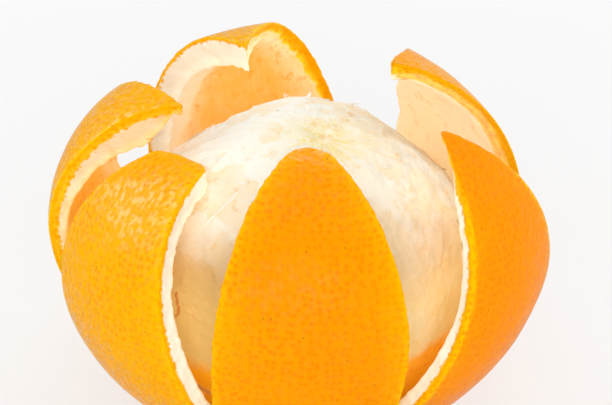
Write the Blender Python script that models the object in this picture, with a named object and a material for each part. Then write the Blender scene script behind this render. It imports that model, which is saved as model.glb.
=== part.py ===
"""Partly peeled navel orange, standing as it was opened.

Six cuts run down the skin from the top and stop low on the side, so six petals of rind stand on
one uncut cup.  Each petal is swung outwards from the cup and its upper part curls back in.  The
whole fruit, still in its white pith, sits in the cup.

Frame: +Z up, origin at the centre of the flat spot that the orange rests on, the front petal
faces -Y.  Headings are compass degrees from the front (-Y) towards +X.  Rind angles are degrees
from the bottom pole (0) over the side (90) to the top pole (180).
"""
import math
from dataclasses import dataclass

import bmesh
import bpy
import numpy as np

MM = 0.001

# Uncut orange
BODY_RADIUS = 40.0 * MM
BODY_HALF_HEIGHT = 39.6 * MM
BODY_SQUARENESS = 2.1
RIND_AT_SIDE = 3.6 * MM
RIND_AT_POLES = 4.8 * MM
FLAT_RADIUS = 8.0 * MM

# Cuts
CUT_START = 40.0
SLIT_WIDTH = 1.4 * MM
BLEND_WIDTH = 14.0
BLEND_RISE = 18.0
BEVEL_RISE = 20.0

# Curl of the petals, in rind angles
CURL_START = 80.0
CURL_END = 175.0

# Peeled fruit
FRUIT_CLEARANCE = 0.45 * MM
FRUIT_CROWN_HEIGHT = 32.0 * MM
FRUIT_SQUARENESS = 2.05

# Facets
PETAL_COLUMNS = 8
CUP_ROWS = 8
PETAL_ROWS = 14
TIP_ROWS = 5
TIP_BLUNTNESS = 16.0
CENTRELINE_STEPS = 720
FRUIT_COLUMNS = 40
FRUIT_ROWS = 20

# Colours
SKIN_ORANGE = (0.95, 0.33, 0.01, 1.0)
PITH_CREAM = (0.93, 0.82, 0.62, 1.0)


@dataclass(frozen=True)
class Petal:
    """One flap of rind: how it swings out of the cup and how its free end is shaped."""

    heading: float
    swing: float
    hinge_start: float
    hinge_end: float
    tip: float
    curl: float
    sway: float
    flattening: float
    rounding: float
    bevel_left: float
    bevel_right: float
    skew: float


@dataclass(frozen=True)
class Cut:
    """One cut between two petals: heading at its lower end, then its drift and bow on the way up."""

    heading: float
    drift: float
    bow: float


@dataclass(frozen=True)
class Lump:
    """A soft swelling (or dent, where the height is negative) on the peeled fruit."""

    heading: float
    angle: float
    spread: float
    height: float


PETALS = (
    Petal(2.0, 12.0, 22.0, 71.0, 173.5, 16.0, 3.6, 0.37, 5.5, 0.0, 0.0, 0.0),
    Petal(47.0, 20.0, 14.0, 88.0, 166.5, 6.5, 11.0, 0.25, 32.0, 1.5, -2.5, 0.0),
    Petal(118.5, 14.7, 28.5, 93.0, 167.5, 6.6, 5.1, 0.45, 57.0, 0.0, 1.5, -1.25),
    Petal(193.0, 24.5, 21.0, 62.0, 176.5, 18.0, 7.8, 0.35, 6.0, 0.0, 4.5, 0.0),
    Petal(250.5, 20.5, 21.0, 84.0, 175.0, 17.5, 13.8, -0.10, 39.0, 0.0, -1.5, 0.0),
    Petal(313.0, 13.5, 24.0, 65.0, 160.0, 26.0, -7.2, 0.33, 5.5, -1.0, 0.0, 0.86),
)
CUTS = (
    Cut(-23.0, -14.0, -1.0),
    Cut(26.0, 12.0, 5.5),
    Cut(86.5, 0.5, 6.0),
    Cut(159.5, 10.5, -0.5),
    Cut(223.0, -14.0, 6.0),
    Cut(276.5, -14.0, 3.5),
)
LUMPS = (
    Lump(225.0, 137.0, 22.0, -2.4 * MM),
    Lump(125.0, 130.0, 20.0, -1.4 * MM),
    Lump(75.0, 108.0, 28.0, 0.6 * MM),
)


def smooth_step(value):
    """Rise from 0 to 1, with level ends, while value runs from 0 to 1."""
    x = np.clip(value, 0.0, 1.0)
    return x * x * x * (x * (6.0 * x - 15.0) + 10.0)


def round_profile(angle, radius, half_height, squareness):
    """Radius, height above the bottom and unit normal of a squared-off ellipse at a rind angle."""
    sine = np.sin(np.radians(angle))
    cosine = -np.cos(np.radians(angle))
    scale = (np.abs(sine) ** squareness + np.abs(cosine) ** squareness) ** (-1.0 / squareness)
    across = sine * scale
    along = cosine * scale
    normal_out = np.abs(across) ** (squareness - 1.0) / radius
    normal_up = np.sign(along) * np.abs(along) ** (squareness - 1.0) / half_height
    length = np.hypot(normal_out, normal_up)
    return radius * across, half_height * (1.0 + along), normal_out / length, normal_up / length


def rind_profile(angle, depth=0.0):
    """Radius and height of the uncut orange at a rind angle, at a depth under the skin."""
    radius, height, out, up = round_profile(
        angle, BODY_RADIUS, BODY_HALF_HEIGHT, BODY_SQUARENESS)
    return radius - depth * out, height - depth * up - FLAT_RISE


def rind_thickness(angle):
    """Thickness of the rind, which is thicker towards the two poles."""
    poleward = np.cos(np.radians(angle)) ** 2
    return RIND_AT_SIDE + (RIND_AT_POLES - RIND_AT_SIDE) * poleward


def flat_spot():
    """Rind angle at the rim of the flat spot, and how far it lies above the round bottom."""
    angle = np.linspace(0.0, 90.0, CENTRELINE_STEPS)
    radius, height, _, _ = round_profile(angle, BODY_RADIUS, BODY_HALF_HEIGHT, BODY_SQUARENESS)
    return float(np.interp(FLAT_RADIUS, radius, angle)), float(np.interp(FLAT_RADIUS, radius, height))


FLAT_ANGLE, FLAT_RISE = flat_spot()


def petal_centreline(petal):
    """Table of rind angle, radius, height and outward turn down the middle of a petal.

    Each short step of the uncut profile is turned outwards by the swing reached at its rind
    angle, less the curl of the free end, and the steps are added up from the bottom pole.
    """
    angle = np.linspace(0.0, 180.0, CENTRELINE_STEPS + 1)
    swing = petal.swing * smooth_step(
        (angle - petal.hinge_start) / (petal.hinge_end - petal.hinge_start))
    curl = petal.curl * smooth_step((angle - CURL_START) / (CURL_END - CURL_START))
    turn = np.radians(swing - curl)
    radius, height = rind_profile(angle)
    step_out = np.diff(radius)
    step_up = np.diff(height)
    middle = 0.5 * (turn[1:] + turn[:-1])
    out = step_out * np.cos(middle) + step_up * np.sin(middle)
    up = step_up * np.cos(middle) - step_out * np.sin(middle)
    return (angle, np.concatenate(([radius[0]], radius[0] + np.cumsum(out))),
            np.concatenate(([height[0]], height[0] + np.cumsum(up))), turn)


def petal_points(petal, angle, heading, depth):
    """Place points of the uncut rind on a petal as it stands open.

    Every point keeps its offset from the petal's centreline at the same rind angle.  The offset
    turns outwards with the centreline, its crosswise curve is partly flattened, and the petal
    above its hinge leans sideways by its sway.
    """
    table, line_radius, line_height, line_turn = petal_centreline(petal)
    turn = np.interp(angle, table, line_turn)
    grown = smooth_step((angle - petal.hinge_start) / (petal.hinge_end - petal.hinge_start))
    skin_radius, skin_height = rind_profile(angle)
    radius, height = rind_profile(angle, depth)
    keep = 1.0 - petal.flattening * grown
    aside = np.radians(heading - petal.heading) * keep
    curve = skin_radius / keep
    offset_out = (curve - skin_radius + radius) * np.cos(aside) - curve
    offset_side = (curve - skin_radius + radius) * np.sin(aside)
    offset_up = height - skin_height
    out = (np.interp(angle, table, line_radius)
           + offset_out * np.cos(turn) + offset_up * np.sin(turn))
    up = (np.interp(angle, table, line_height)
          - offset_out * np.sin(turn) + offset_up * np.cos(turn))
    lean = np.radians(petal.sway) * grown
    above = up - (BODY_HALF_HEIGHT - FLAT_RISE)
    side = offset_side * np.cos(lean) + above * np.sin(lean)
    up = up - above + above * np.cos(lean) - offset_side * np.sin(lean)
    compass = math.radians(petal.heading)
    return np.stack((out * math.sin(compass) + side * math.cos(compass),
                     side * math.sin(compass) - out * math.cos(compass),
                     up), axis=-1)


def cut_pair(index):
    """The cuts on the left and right of a petal, with headings that rise from left to right."""
    left = CUTS[index]
    right = CUTS[(index + 1) % len(CUTS)]
    turn = 360.0 if index == len(CUTS) - 1 else 0.0
    return left, Cut(right.heading + turn, right.drift, right.bow)


def rind_points(index, angle, heading, depth):
    """Place points of the rind in the region of one petal, joined to its neighbours in the cup.

    Close to a cut the point moves over to the mean of the two petals beside it, fully so below
    the cut's lower end and less and less above it, so that each cut opens from nothing.
    """
    left, right = cut_pair(index)
    fade = 1.0 - smooth_step((angle - CUT_START) / BLEND_RISE)
    share_left = 0.5 * fade * (1.0 - smooth_step((heading - left.heading) / BLEND_WIDTH))
    share_right = 0.5 * fade * (1.0 - smooth_step((right.heading - heading) / BLEND_WIDTH))
    count = len(PETALS)
    before = PETALS[(index - 1) % count]
    after = PETALS[(index + 1) % count]
    own = petal_points(PETALS[index], angle, heading, depth)
    points_before = petal_points(before, angle, near(heading, before.heading), depth)
    points_after = petal_points(after, angle, near(heading, after.heading), depth)
    return (own * (1.0 - share_left - share_right)[..., None]
            + points_before * share_left[..., None] + points_after * share_right[..., None])


def near(heading, reference):
    """The same heading, counted within half a turn of the reference."""
    return reference + (heading - reference + 180.0) % 360.0 - 180.0


def cup_angles():
    """Rind angles of the rows of the uncut cup, from the flat spot to the cuts."""
    return np.linspace(FLAT_ANGLE, CUT_START, CUP_ROWS + 1)


def petal_angles(petal):
    """Rind angles of a petal's rows above the cuts' lower end, and the share of full width there.

    The sides run in to the tip on a quarter ellipse, which stops just short of the tip so that
    the end is blunt.
    """
    straight = np.linspace(CUT_START, petal.tip - petal.rounding, PETAL_ROWS + 1)
    sweep = np.radians(np.linspace(90.0, TIP_BLUNTNESS, TIP_ROWS + 1)[1:])
    rounded = petal.tip - petal.rounding * (1.0 - np.cos(sweep))
    return (np.concatenate((straight[1:], rounded)),
            np.concatenate((np.ones(PETAL_ROWS), np.sin(sweep))))


def cut_heading(cut, angle):
    """Heading of a cut at a rind angle: it drifts and bows aside as it climbs."""
    climb = np.clip((angle - CUT_START) / (180.0 - CUT_START), 0.0, 1.0)
    return cut.heading + cut.drift * climb ** 2 + cut.bow * np.sin(np.pi * climb)


def petal_sides(index, angle, width, under):
    """Headings of a petal's two sides at a rind angle, under = 0 on the skin and 1 on the pith.

    The sides lie half a slit away from the cuts, run together to the tip, and lean in by the
    petal's bevels on the pith side because the cuts aren't square to the skin.  The skew moves
    the tip sideways, by that many half widths.
    """
    left, right = cut_pair(index)
    petal = PETALS[index]
    skin_radius, _ = rind_profile(CUT_START)
    half_slit = 0.5 * math.degrees(SLIT_WIDTH / skin_radius)
    slant = under * smooth_step((angle - CUT_START) / BEVEL_RISE)
    west = cut_heading(left, angle) + half_slit + petal.bevel_left * slant
    east = cut_heading(right, angle) - half_slit - petal.bevel_right * slant
    half = 0.5 * (east - west)
    middle = 0.5 * (west + east) + half * petal.skew * (1.0 - width)
    return middle - half * width, middle + half * width


def petal_grid(index, under):
    """Rind angles and headings of a petal's grid, with the part of the cup below it."""
    above, width = petal_angles(PETALS[index])
    rows = np.concatenate((cup_angles(), above))
    width = np.concatenate((np.ones(CUP_ROWS + 1), width))
    west, east = petal_sides(index, rows, width, under)
    across = np.linspace(0.0, 1.0, PETAL_COLUMNS + 1)
    heading = west[:, None] + (east - west)[:, None] * across[None, :]
    return np.broadcast_to(rows[:, None], heading.shape), heading


def add_points(bm, points):
    """Add a grid of points to the mesh and return its vertices as rows of a nested list."""
    return [[bm.verts.new(point) for point in row] for row in points]


def add_sheet(bm, grid, outside):
    """Fill a grid of vertices with quads, facing out of the orange or into it."""
    for low, high in zip(grid, grid[1:]):
        for k in range(len(low) - 1):
            quad = (low[k], low[k + 1], high[k + 1], high[k])
            bm.faces.new(quad if outside else quad[::-1])


def add_wall(bm, skin, pith):
    """Close the rind between a line of skin vertices and the line of pith vertices behind it."""
    for k in range(len(skin) - 1):
        bm.faces.new((skin[k], skin[k + 1], pith[k + 1], pith[k]))


def add_disc(bm, rim, height, outside):
    """Close the bottom of the cup with a fan round a centre vertex."""
    centre = bm.verts.new((0.0, 0.0, height))
    for k, vertex in enumerate(rim):
        face = (centre, rim[(k + 1) % len(rim)], vertex)
        bm.faces.new(face if outside else face[::-1])


def finish_object(bm, name, colour, roughness):
    """Turn the mesh into a named, smooth-shaded object with its own material."""
    bmesh.ops.recalc_face_normals(bm, faces=bm.faces[:])
    mesh = bpy.data.meshes.new(name)
    bm.to_mesh(mesh)
    bm.free()
    mesh.shade_smooth()
    mesh.set_sharp_from_angle(angle=math.radians(40.0))
    material = bpy.data.materials.new(name)
    material.use_nodes = True
    shader = material.node_tree.nodes["Principled BSDF"]
    shader.inputs["Base Color"].default_value = colour
    shader.inputs["Roughness"].default_value = roughness
    shader.inputs["Metallic"].default_value = 0.0
    mesh.materials.append(material)
    part = bpy.data.objects.new(name, mesh)
    bpy.context.scene.collection.objects.link(part)
    return part


def make_peel():
    """The rind as one solid: the uncut cup and the six petals that stand on it."""
    bm = bmesh.new()
    skins = []
    piths = []
    for index in range(len(PETALS)):
        angle, heading = petal_grid(index, under=0.0)
        skin_points = rind_points(index, angle, heading, 0.0)
        skin_points[0, :, 2] = 0.0
        skins.append(add_points(bm, skin_points))
        angle, heading = petal_grid(index, under=1.0)
        piths.append(add_points(bm, rind_points(index, angle, heading, rind_thickness(angle))))
    for index, (skin, pith) in enumerate(zip(skins, piths)):
        add_sheet(bm, skin, outside=True)
        add_sheet(bm, pith, outside=False)
        for side in (0, -1):
            line = slice(CUP_ROWS, None)
            wall_skin = [row[side] for row in skin[line]]
            wall_pith = [row[side] for row in pith[line]]
            add_wall(bm, wall_skin, wall_pith)
        add_wall(bm, skin[-1], pith[-1])
        after = (index + 1) % len(PETALS)
        for grids, outside in ((skins, True), (piths, False)):
            seam = [[grids[index][row][-1], grids[after][row][0]] for row in range(CUP_ROWS + 1)]
            add_sheet(bm, seam, outside)
        add_wall(bm, [skin[CUP_ROWS][-1], skins[after][CUP_ROWS][0]],
                 [pith[CUP_ROWS][-1], piths[after][CUP_ROWS][0]])
    add_disc(bm, [vertex for skin in skins for vertex in skin[0]], 0.0, outside=True)
    _, inside_height = rind_profile(0.0, RIND_AT_POLES)
    add_disc(bm, [vertex for pith in piths for vertex in pith[0]], inside_height, outside=False)
    return finish_object(bm, "peel", SKIN_ORANGE, 0.42)


def fruit_profile(angle):
    """Radius, height and unit normal of the fruit.

    The lower half follows the inside of the uncut rind, a small clearance away.  The upper half
    is a squared-off ellipse of the same girth with its own, lower crown.
    """
    girth = BODY_RADIUS - RIND_AT_SIDE - FRUIT_CLEARANCE
    waist = BODY_HALF_HEIGHT - FLAT_RISE
    _, _, low_out, low_up = round_profile(
        angle, BODY_RADIUS, BODY_HALF_HEIGHT, BODY_SQUARENESS)
    low_radius, low_height = rind_profile(angle, rind_thickness(angle) + FRUIT_CLEARANCE)
    radius, height, out, up = round_profile(angle, girth, FRUIT_CROWN_HEIGHT, FRUIT_SQUARENESS)
    upper = angle > 90.0
    return (np.where(upper, radius, low_radius),
            np.where(upper, height - FRUIT_CROWN_HEIGHT + waist, low_height),
            np.where(upper, out, low_out), np.where(upper, up, low_up))


def fruit_points(angle, heading):
    """Points of the peeled fruit, with its soft lumps and dents pushed along the normal."""
    radius, height, out, up = fruit_profile(angle)
    swell = np.zeros(np.broadcast(angle, heading).shape)
    for lump in LUMPS:
        east = near(heading, lump.heading) - lump.heading
        apart = np.hypot(angle - lump.angle, east * np.sin(np.radians(angle)))
        swell = swell + lump.height * np.exp(-(apart / lump.spread) ** 2)
    radius = radius + swell * out
    height = height + swell * up
    compass = np.radians(heading)
    return np.stack((radius * np.sin(compass), -radius * np.cos(compass), height), axis=-1)


def make_fruit():
    """The whole peeled fruit in its pith, as one solid of rings between two poles."""
    bm = bmesh.new()
    rows = np.linspace(0.0, 180.0, FRUIT_ROWS + 1)[1:-1]
    columns = np.linspace(0.0, 360.0, FRUIT_COLUMNS, endpoint=False)
    rings = add_points(bm, fruit_points(rows[:, None], columns[None, :]))
    for low, high in zip(rings, rings[1:]):
        for k in range(FRUIT_COLUMNS):
            beside = (k + 1) % FRUIT_COLUMNS
            bm.faces.new((low[k], low[beside], high[beside], high[k]))
    for rim, pole in ((rings[0], 0.0), (rings[-1], 180.0)):
        centre = bm.verts.new(fruit_points(np.array(pole), np.array(0.0)))
        for k in range(FRUIT_COLUMNS):
            bm.faces.new((rim[k], rim[(k + 1) % FRUIT_COLUMNS], centre))
    return finish_object(bm, "fruit", PITH_CREAM, 0.6)


def main():
    """Clear the scene and build the two pieces."""
    for old in list(bpy.data.objects):
        bpy.data.objects.remove(old, do_unlink=True)
    make_peel()
    make_fruit()


main()
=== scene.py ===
"""Partly peeled navel orange: six petals of rind standing round the peeled fruit.

Frame: metres, +Z up, origin under the middle of the cup, the front petal faces -Y.  Headings are
compass degrees from the front (-Y) towards +X.  Rind angles are degrees from the bottom pole (0)
over the side (90) to the top pole (180).
"""
from __future__ import annotations

import logging
import math
from dataclasses import dataclass, field, replace
from enum import Enum
from typing import Any, Callable, Iterable, Sequence

import bpy
import numpy as np
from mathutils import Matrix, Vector

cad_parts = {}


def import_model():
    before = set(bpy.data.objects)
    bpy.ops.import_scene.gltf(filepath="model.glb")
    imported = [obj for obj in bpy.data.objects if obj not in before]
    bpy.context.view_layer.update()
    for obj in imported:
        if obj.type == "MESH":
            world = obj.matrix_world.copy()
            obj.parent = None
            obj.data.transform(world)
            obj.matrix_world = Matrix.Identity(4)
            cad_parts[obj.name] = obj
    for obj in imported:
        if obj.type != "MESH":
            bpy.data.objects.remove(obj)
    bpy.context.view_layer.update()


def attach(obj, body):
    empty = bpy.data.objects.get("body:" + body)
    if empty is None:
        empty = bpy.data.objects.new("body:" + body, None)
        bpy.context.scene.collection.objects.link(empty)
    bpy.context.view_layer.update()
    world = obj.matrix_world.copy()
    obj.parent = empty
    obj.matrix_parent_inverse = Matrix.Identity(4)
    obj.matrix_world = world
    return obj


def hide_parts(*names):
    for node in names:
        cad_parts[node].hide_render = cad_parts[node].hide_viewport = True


LOG = logging.getLogger("peeled_orange")
MM = 0.001
Array = np.ndarray
Colour = tuple[float, float, float, float]
Ranges = tuple[tuple[float, float], tuple[float, float]]
BLACK: Colour = (0.0, 0.0, 0.0, 1.0)


# --------------------------------------------------------------------------- shader maths


def math_method(operation: str, swapped: bool = False) -> Callable[..., "Shade"]:
    """Make a method of Shade that adds one Math node.

    Args:
        operation: the node's operation.
        swapped: whether the other value comes first, as in 1 - mask.

    Returns:
        The method.
    """
    def method(self: "Shade", other: Any) -> "Shade":
        """Add the node and give its result."""
        values = (other, self) if swapped else (self, other)
        return self.net.shade("Value", "ShaderNodeMath", {"operation": operation},
                              dict(enumerate(values)))

    return method


class Shade:
    """A number in a node tree, with operators that add Math nodes."""

    def __init__(self, net: "Net", source: bpy.types.NodeSocket) -> None:
        """Wrap an output socket of the net's tree."""
        self.net = net
        self.source = source

    __add__ = __radd__ = math_method("ADD")
    __mul__ = __rmul__ = math_method("MULTIPLY")
    __sub__ = math_method("SUBTRACT")
    __rsub__ = math_method("SUBTRACT", swapped=True)
    at_most = math_method("MINIMUM")
    at_least = math_method("MAXIMUM")

    def step(self, low: float, high: float) -> "Shade":
        """Rise smoothly from 0 at low to 1 at high, or fall where low is above high.

        Args:
            low: value at which the step is 0.
            high: value at which the step is 1.

        Returns:
            The step, between 0 and 1.
        """
        falling = low > high
        start, end = (high, low) if falling else (low, high)
        ends = (1.0, 0.0) if falling else (0.0, 1.0)
        return self.net.shade(
            "Result", "ShaderNodeMapRange", {"interpolation_type": "SMOOTHSTEP", "clamp": True},
            {0: self, 1: start, 2: end, 3: ends[0], 4: ends[1]})


class Net:
    """A node tree, with one method that adds any node."""

    def __init__(self, owner: bpy.types.Material | bpy.types.World) -> None:
        """Start from the emptied tree of a material or a world."""
        owner.use_nodes = True
        self.tree = owner.node_tree
        self.tree.nodes.clear()

    def node(self, kind: str, settings: dict[str, Any] | None = None,
             inputs: dict[Any, Any] | None = None) -> bpy.types.Node:
        """Add a node, set its settings, then fill its sockets.

        Args:
            kind: the node's type.
            settings: attributes of the node, set first.
            inputs: socket names or numbers with a value or a link for each.

        Returns:
            The new node.
        """
        node = self.tree.nodes.new(kind)
        for name, value in (settings or {}).items():
            setattr(node, name, value)
        for name, value in (inputs or {}).items():
            if isinstance(value, Shade):
                value = value.source
            if isinstance(value, bpy.types.NodeSocket):
                self.tree.links.new(value, node.inputs[name])
            else:
                node.inputs[name].default_value = value
        return node

    def shade(self, output: str, kind: str, settings: dict[str, Any] | None = None,
              inputs: dict[Any, Any] | None = None) -> Shade:
        """Add a node and give the named output as a number that can be reckoned with."""
        return Shade(self, self.node(kind, settings, inputs).outputs[output])

    def attributes(self, names: str) -> Iterable[Shade]:
        """Numbers stored on the piece's points, for names with blanks between them."""
        return (self.shade("Fac", "ShaderNodeAttribute", {"attribute_name": name})
                for name in names.split())

    def place(self) -> bpy.types.NodeSocket:
        """Position on the piece in metres."""
        return self.node("ShaderNodeTexCoord").outputs["Object"]

    def unrolled(self) -> bpy.types.NodeSocket:
        """Position on the unrolled surface, in millimetres."""
        return self.node("ShaderNodeUVMap", {"uv_map": "unrolled"}).outputs["UV"]

    def scaled(self, vector: bpy.types.NodeSocket, scale: Sequence[float],
               shift: Sequence[float] = (0.0, 0.0, 0.0)) -> bpy.types.NodeSocket:
        """Position times a factor for each axis, plus a shift."""
        return self.node("ShaderNodeVectorMath", {"operation": "MULTIPLY_ADD"},
                         {0: vector, 1: tuple(scale), 2: tuple(shift)}).outputs["Vector"]

    def along(self, axis: str, vector: bpy.types.NodeSocket) -> Shade:
        """One coordinate of a position or direction."""
        return self.shade(axis, "ShaderNodeSeparateXYZ", None, {0: vector})

    def noise(self, vector: bpy.types.NodeSocket, scale: float, detail: float = 2.0,
              roughness: float = 0.5) -> Shade:
        """Soft cloudy noise between 0 and 1.

        Args:
            vector: position that it is read at.
            scale: features per unit of length.
            detail: number of finer octaves.
            roughness: strength of the finer octaves.

        Returns:
            The noise.
        """
        return self.shade("Fac", "ShaderNodeTexNoise", None,
                          {"Vector": vector, "Scale": scale, "Detail": detail,
                           "Roughness": roughness})

    def cells(self, vector: bpy.types.NodeSocket, scale: float, randomness: float = 1.0,
              flat: bool = True) -> Shade:
        """Distance to the middle of the nearest cell.

        Args:
            vector: position that it is read at.
            scale: cells per unit of length.
            randomness: 0 for a regular grid, 1 for scattered cells.
            flat: whether the cells lie in a plane.

        Returns:
            The distance, in cells.
        """
        return self.shade("Distance", "ShaderNodeTexVoronoi",
                          {"voronoi_dimensions": "2D" if flat else "3D", "feature": "F1"},
                          {"Vector": vector, "Scale": scale, "Randomness": randomness})

    def mix(self, share: Any, first: Any, second: Any) -> bpy.types.NodeSocket:
        """Blend two colours; the share is how much of the second one shows."""
        return self.node("ShaderNodeMix", {"data_type": "RGBA"},
                         {"Factor": share, 6: first, 7: second}).outputs[2]

    def layers(self, colour: Any, *coats: tuple[Any, Any]) -> bpy.types.NodeSocket:
        """Lay coats over a colour in turn, each given as its share and its colour."""
        for share, coat in coats:
            colour = self.mix(share, colour, coat)
        return colour

    def bump(self, *reliefs: tuple[Shade, float]) -> bpy.types.NodeSocket:
        """Chain of bumps, coarsest first.

        Args:
            reliefs: a height between 0 and 1 and its real height in metres, for each bump.

        Returns:
            The last bump's normal.
        """
        normal: dict[str, bpy.types.NodeSocket] = {}
        for height, distance in reliefs:
            bump = self.node("ShaderNodeBump", None, {
                "Strength": 1.0, "Distance": distance, "Height": height, **normal})
            normal = {"Normal": bump.outputs["Normal"]}
        return normal["Normal"]

    def close(self, kind: str, shader: bpy.types.Node) -> None:
        """Lead a shader's first output to a new output node of the given type."""
        self.node(kind, None, {0: shader.outputs[0]})


def rgb(red: int, green: int, blue: int) -> Colour:
    """Linear colour, with alpha, from its 8-bit screen values."""
    def linear(value: int) -> float:
        """One channel through the screen's curve."""
        share = value / 255.0
        return share / 12.92 if share <= 0.04045 else ((share + 0.055) / 1.055) ** 2.4

    return linear(red), linear(green), linear(blue), 1.0


# --------------------------------------------------------------------------- shapes in numbers


def smooth_step(value: Array | float) -> Array:
    """Rise from 0 to 1 with level ends: x cubed times (6 x squared - 15 x + 10)."""
    x = np.clip(value, 0.0, 1.0)
    return x * x * x * (x * (6.0 * x - 15.0) + 10.0)


def near(heading: Array | float, reference: float) -> Array:
    """The same heading in degrees, counted within half a turn of the reference."""
    return reference + (heading - reference + 180.0) % 360.0 - 180.0


def stack(*parts: Array) -> Array:
    """Vectors with x, y and z last, from arrays that are spread to one shape."""
    return np.stack(np.broadcast_arrays(*parts), axis=-1)


@dataclass(frozen=True)
class Noise:
    """Seeded smooth noise: random values on a cubic lattice, blended between its corners.

    Attributes:
        seed: what the lattice's values are drawn from.
        wavelength: size of a lattice cell, in the points' unit.
        octaves: how many noises are summed, each at half the wavelength of the one before.
        gain: strength of each octave relative to the one before.
        cells: cells along a side of the lattice, which repeats beyond them.
        shift: how far each octave is moved, in wavelengths.
    """

    seed: int
    wavelength: float = 1.0
    octaves: int = 1
    gain: float = 0.5
    cells: int = 32
    shift: float = 7.3

    def blend(self, values: Array, scaled: Array) -> Array:
        """Eight corner values, weighted along each axis by 3 x squared - 2 x cubed of the way.

        Args:
            values: the lattice's values.
            scaled: positions in lattice cells, with x, y and z last.

        Returns:
            Values from -1 to 1.
        """
        base = np.floor(scaled)
        part = scaled - base
        part = part * part * (3.0 - 2.0 * part)
        low = base.astype(np.int64) % self.cells
        high = (low + 1) % self.cells
        total = np.zeros(scaled.shape[:-1])
        for corner in np.ndindex(2, 2, 2):
            weight = np.ones(scaled.shape[:-1])
            for axis, pick in enumerate(corner):
                weight = weight * (part[..., axis] if pick else 1.0 - part[..., axis])
            total += weight * values[tuple((high if pick else low)[..., axis]
                                           for axis, pick in enumerate(corner))]
        return total

    def at(self, points: Array) -> Array:
        """Sum of the octaves at halving wavelengths, each weaker by the gain, over all strengths.

        Args:
            points: positions, with x, y and z last.

        Returns:
            Values of about -1 to 1.
        """
        values = np.random.default_rng(self.seed).uniform(-1.0, 1.0, (self.cells,) * 3)
        total = np.zeros(points.shape[:-1])
        for octave in range(self.octaves):
            moved = points + self.shift * octave * self.wavelength
            total += self.gain ** octave * self.blend(values,
                                                      moved / (self.wavelength / 2 ** octave))
        return total / sum(self.gain ** octave for octave in range(self.octaves))


def build_piece(name: str, points: Array, quads: Array, unrolled: Array,
                numbers: dict[str, Array]) -> bpy.types.Object:
    """Make one closed, smooth-shaded mesh from arrays.

    Points within a tenth of a micron are merged.  A quad with two merged corners becomes a
    triangle, and one with fewer than three different corners is left out.

    Args:
        name: name of the piece.
        points: positions, one row each.
        quads: four point numbers for each face, anticlockwise from outside.
        unrolled: place on the unrolled surface in millimetres, for each corner of each quad.
        numbers: named values for each point.

    Returns:
        The new object.
    """
    grid = np.round(points / 1e-7).astype(np.int64)
    _, first, merged = np.unique(grid, axis=0, return_index=True, return_inverse=True)
    quads = merged.reshape(-1)[quads]
    differ = quads != np.roll(quads, -1, axis=1)
    opposite = (quads[:, 0] == quads[:, 2]) | (quads[:, 1] == quads[:, 3])
    kept = (differ.sum(axis=1) >= 3) & ~opposite
    quads, differ, unrolled = quads[kept], differ[kept], unrolled[kept]
    sizes = differ.sum(axis=1)
    used, loops = np.unique(quads[differ], return_inverse=True)
    source = first[used]
    mesh = bpy.data.meshes.new(name)
    mesh.vertices.add(len(source))
    mesh.vertices.foreach_set("co", points[source].astype(np.float32).ravel())
    mesh.loops.add(len(loops))
    mesh.loops.foreach_set("vertex_index", loops.reshape(-1).astype(np.int32))
    mesh.polygons.add(len(sizes))
    starts = np.concatenate(([0], np.cumsum(sizes)[:-1])).astype(np.int32)
    mesh.polygons.foreach_set("loop_start", starts)
    mesh.update(calc_edges=True)
    layer = mesh.uv_layers.new(name="unrolled")
    layer.data.foreach_set("uv", unrolled[differ].astype(np.float32).ravel())
    for key, values in numbers.items():
        stored = mesh.attributes.new(key, "FLOAT", "POINT")
        stored.data.foreach_set("value", values[source].astype(np.float32))
    mesh.validate()
    mesh.shade_smooth()
    piece = bpy.data.objects.new(name, mesh)
    bpy.context.scene.collection.objects.link(piece)
    return piece


def grid_quads(index: Array, inside_out: bool = False) -> Array:
    """Quads between the neighbouring rows and columns of a table of point numbers.

    Args:
        index: point numbers in rows (upwards) and columns (anticlockwise from above).
        inside_out: whether the faces look the other way.

    Returns:
        Four point numbers for each face.
    """
    low, high = index[..., :-1, :], index[..., 1:, :]
    quads = np.stack((low[..., :-1], low[..., 1:], high[..., 1:], high[..., :-1]), axis=-1)
    return quads.reshape(-1, 4)[:, ::-1] if inside_out else quads.reshape(-1, 4)


def ringed(index: Array) -> Array:
    """Table of point numbers whose last axis runs round, with its first column repeated."""
    return np.concatenate((index, index[..., :1]), axis=-1)


@dataclass
class Pile:
    """Points, faces and numbers of a mesh, gathered part by part."""

    points: list[Array] = field(default_factory=list)
    quads: list[Array] = field(default_factory=list)
    unrolled: list[Array] = field(default_factory=list)
    numbers: dict[str, list[Array]] = field(default_factory=dict)
    total: int = 0

    def add(self, points: Array, faces: Sequence[tuple[Array, Array]],
            numbers: dict[str, Any]) -> None:
        """Add a part.

        Args:
            points: positions, with x, y and z last.
            faces: quads of the part's own points, with every point's unrolled place.
            numbers: named values for each point, or one value for all of them.
        """
        points = points.reshape(-1, 3)
        self.points.append(points)
        for quads, unrolled in faces:
            self.quads.append(quads + self.total)
            self.unrolled.append(unrolled.reshape(-1, 2)[quads])
        for key, values in numbers.items():
            spread = np.broadcast_to(np.ravel(values), len(points))
            self.numbers.setdefault(key, []).append(spread)
        self.total += len(points)

    def build(self, name: str) -> bpy.types.Object:
        """Make the piece of that name."""
        numbers = {key: np.concatenate(values) for key, values in self.numbers.items()}
        return build_piece(name, *map(np.concatenate, (self.points, self.quads, self.unrolled)),
                           numbers)


# --------------------------------------------------------------------------- the orange's form


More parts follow.
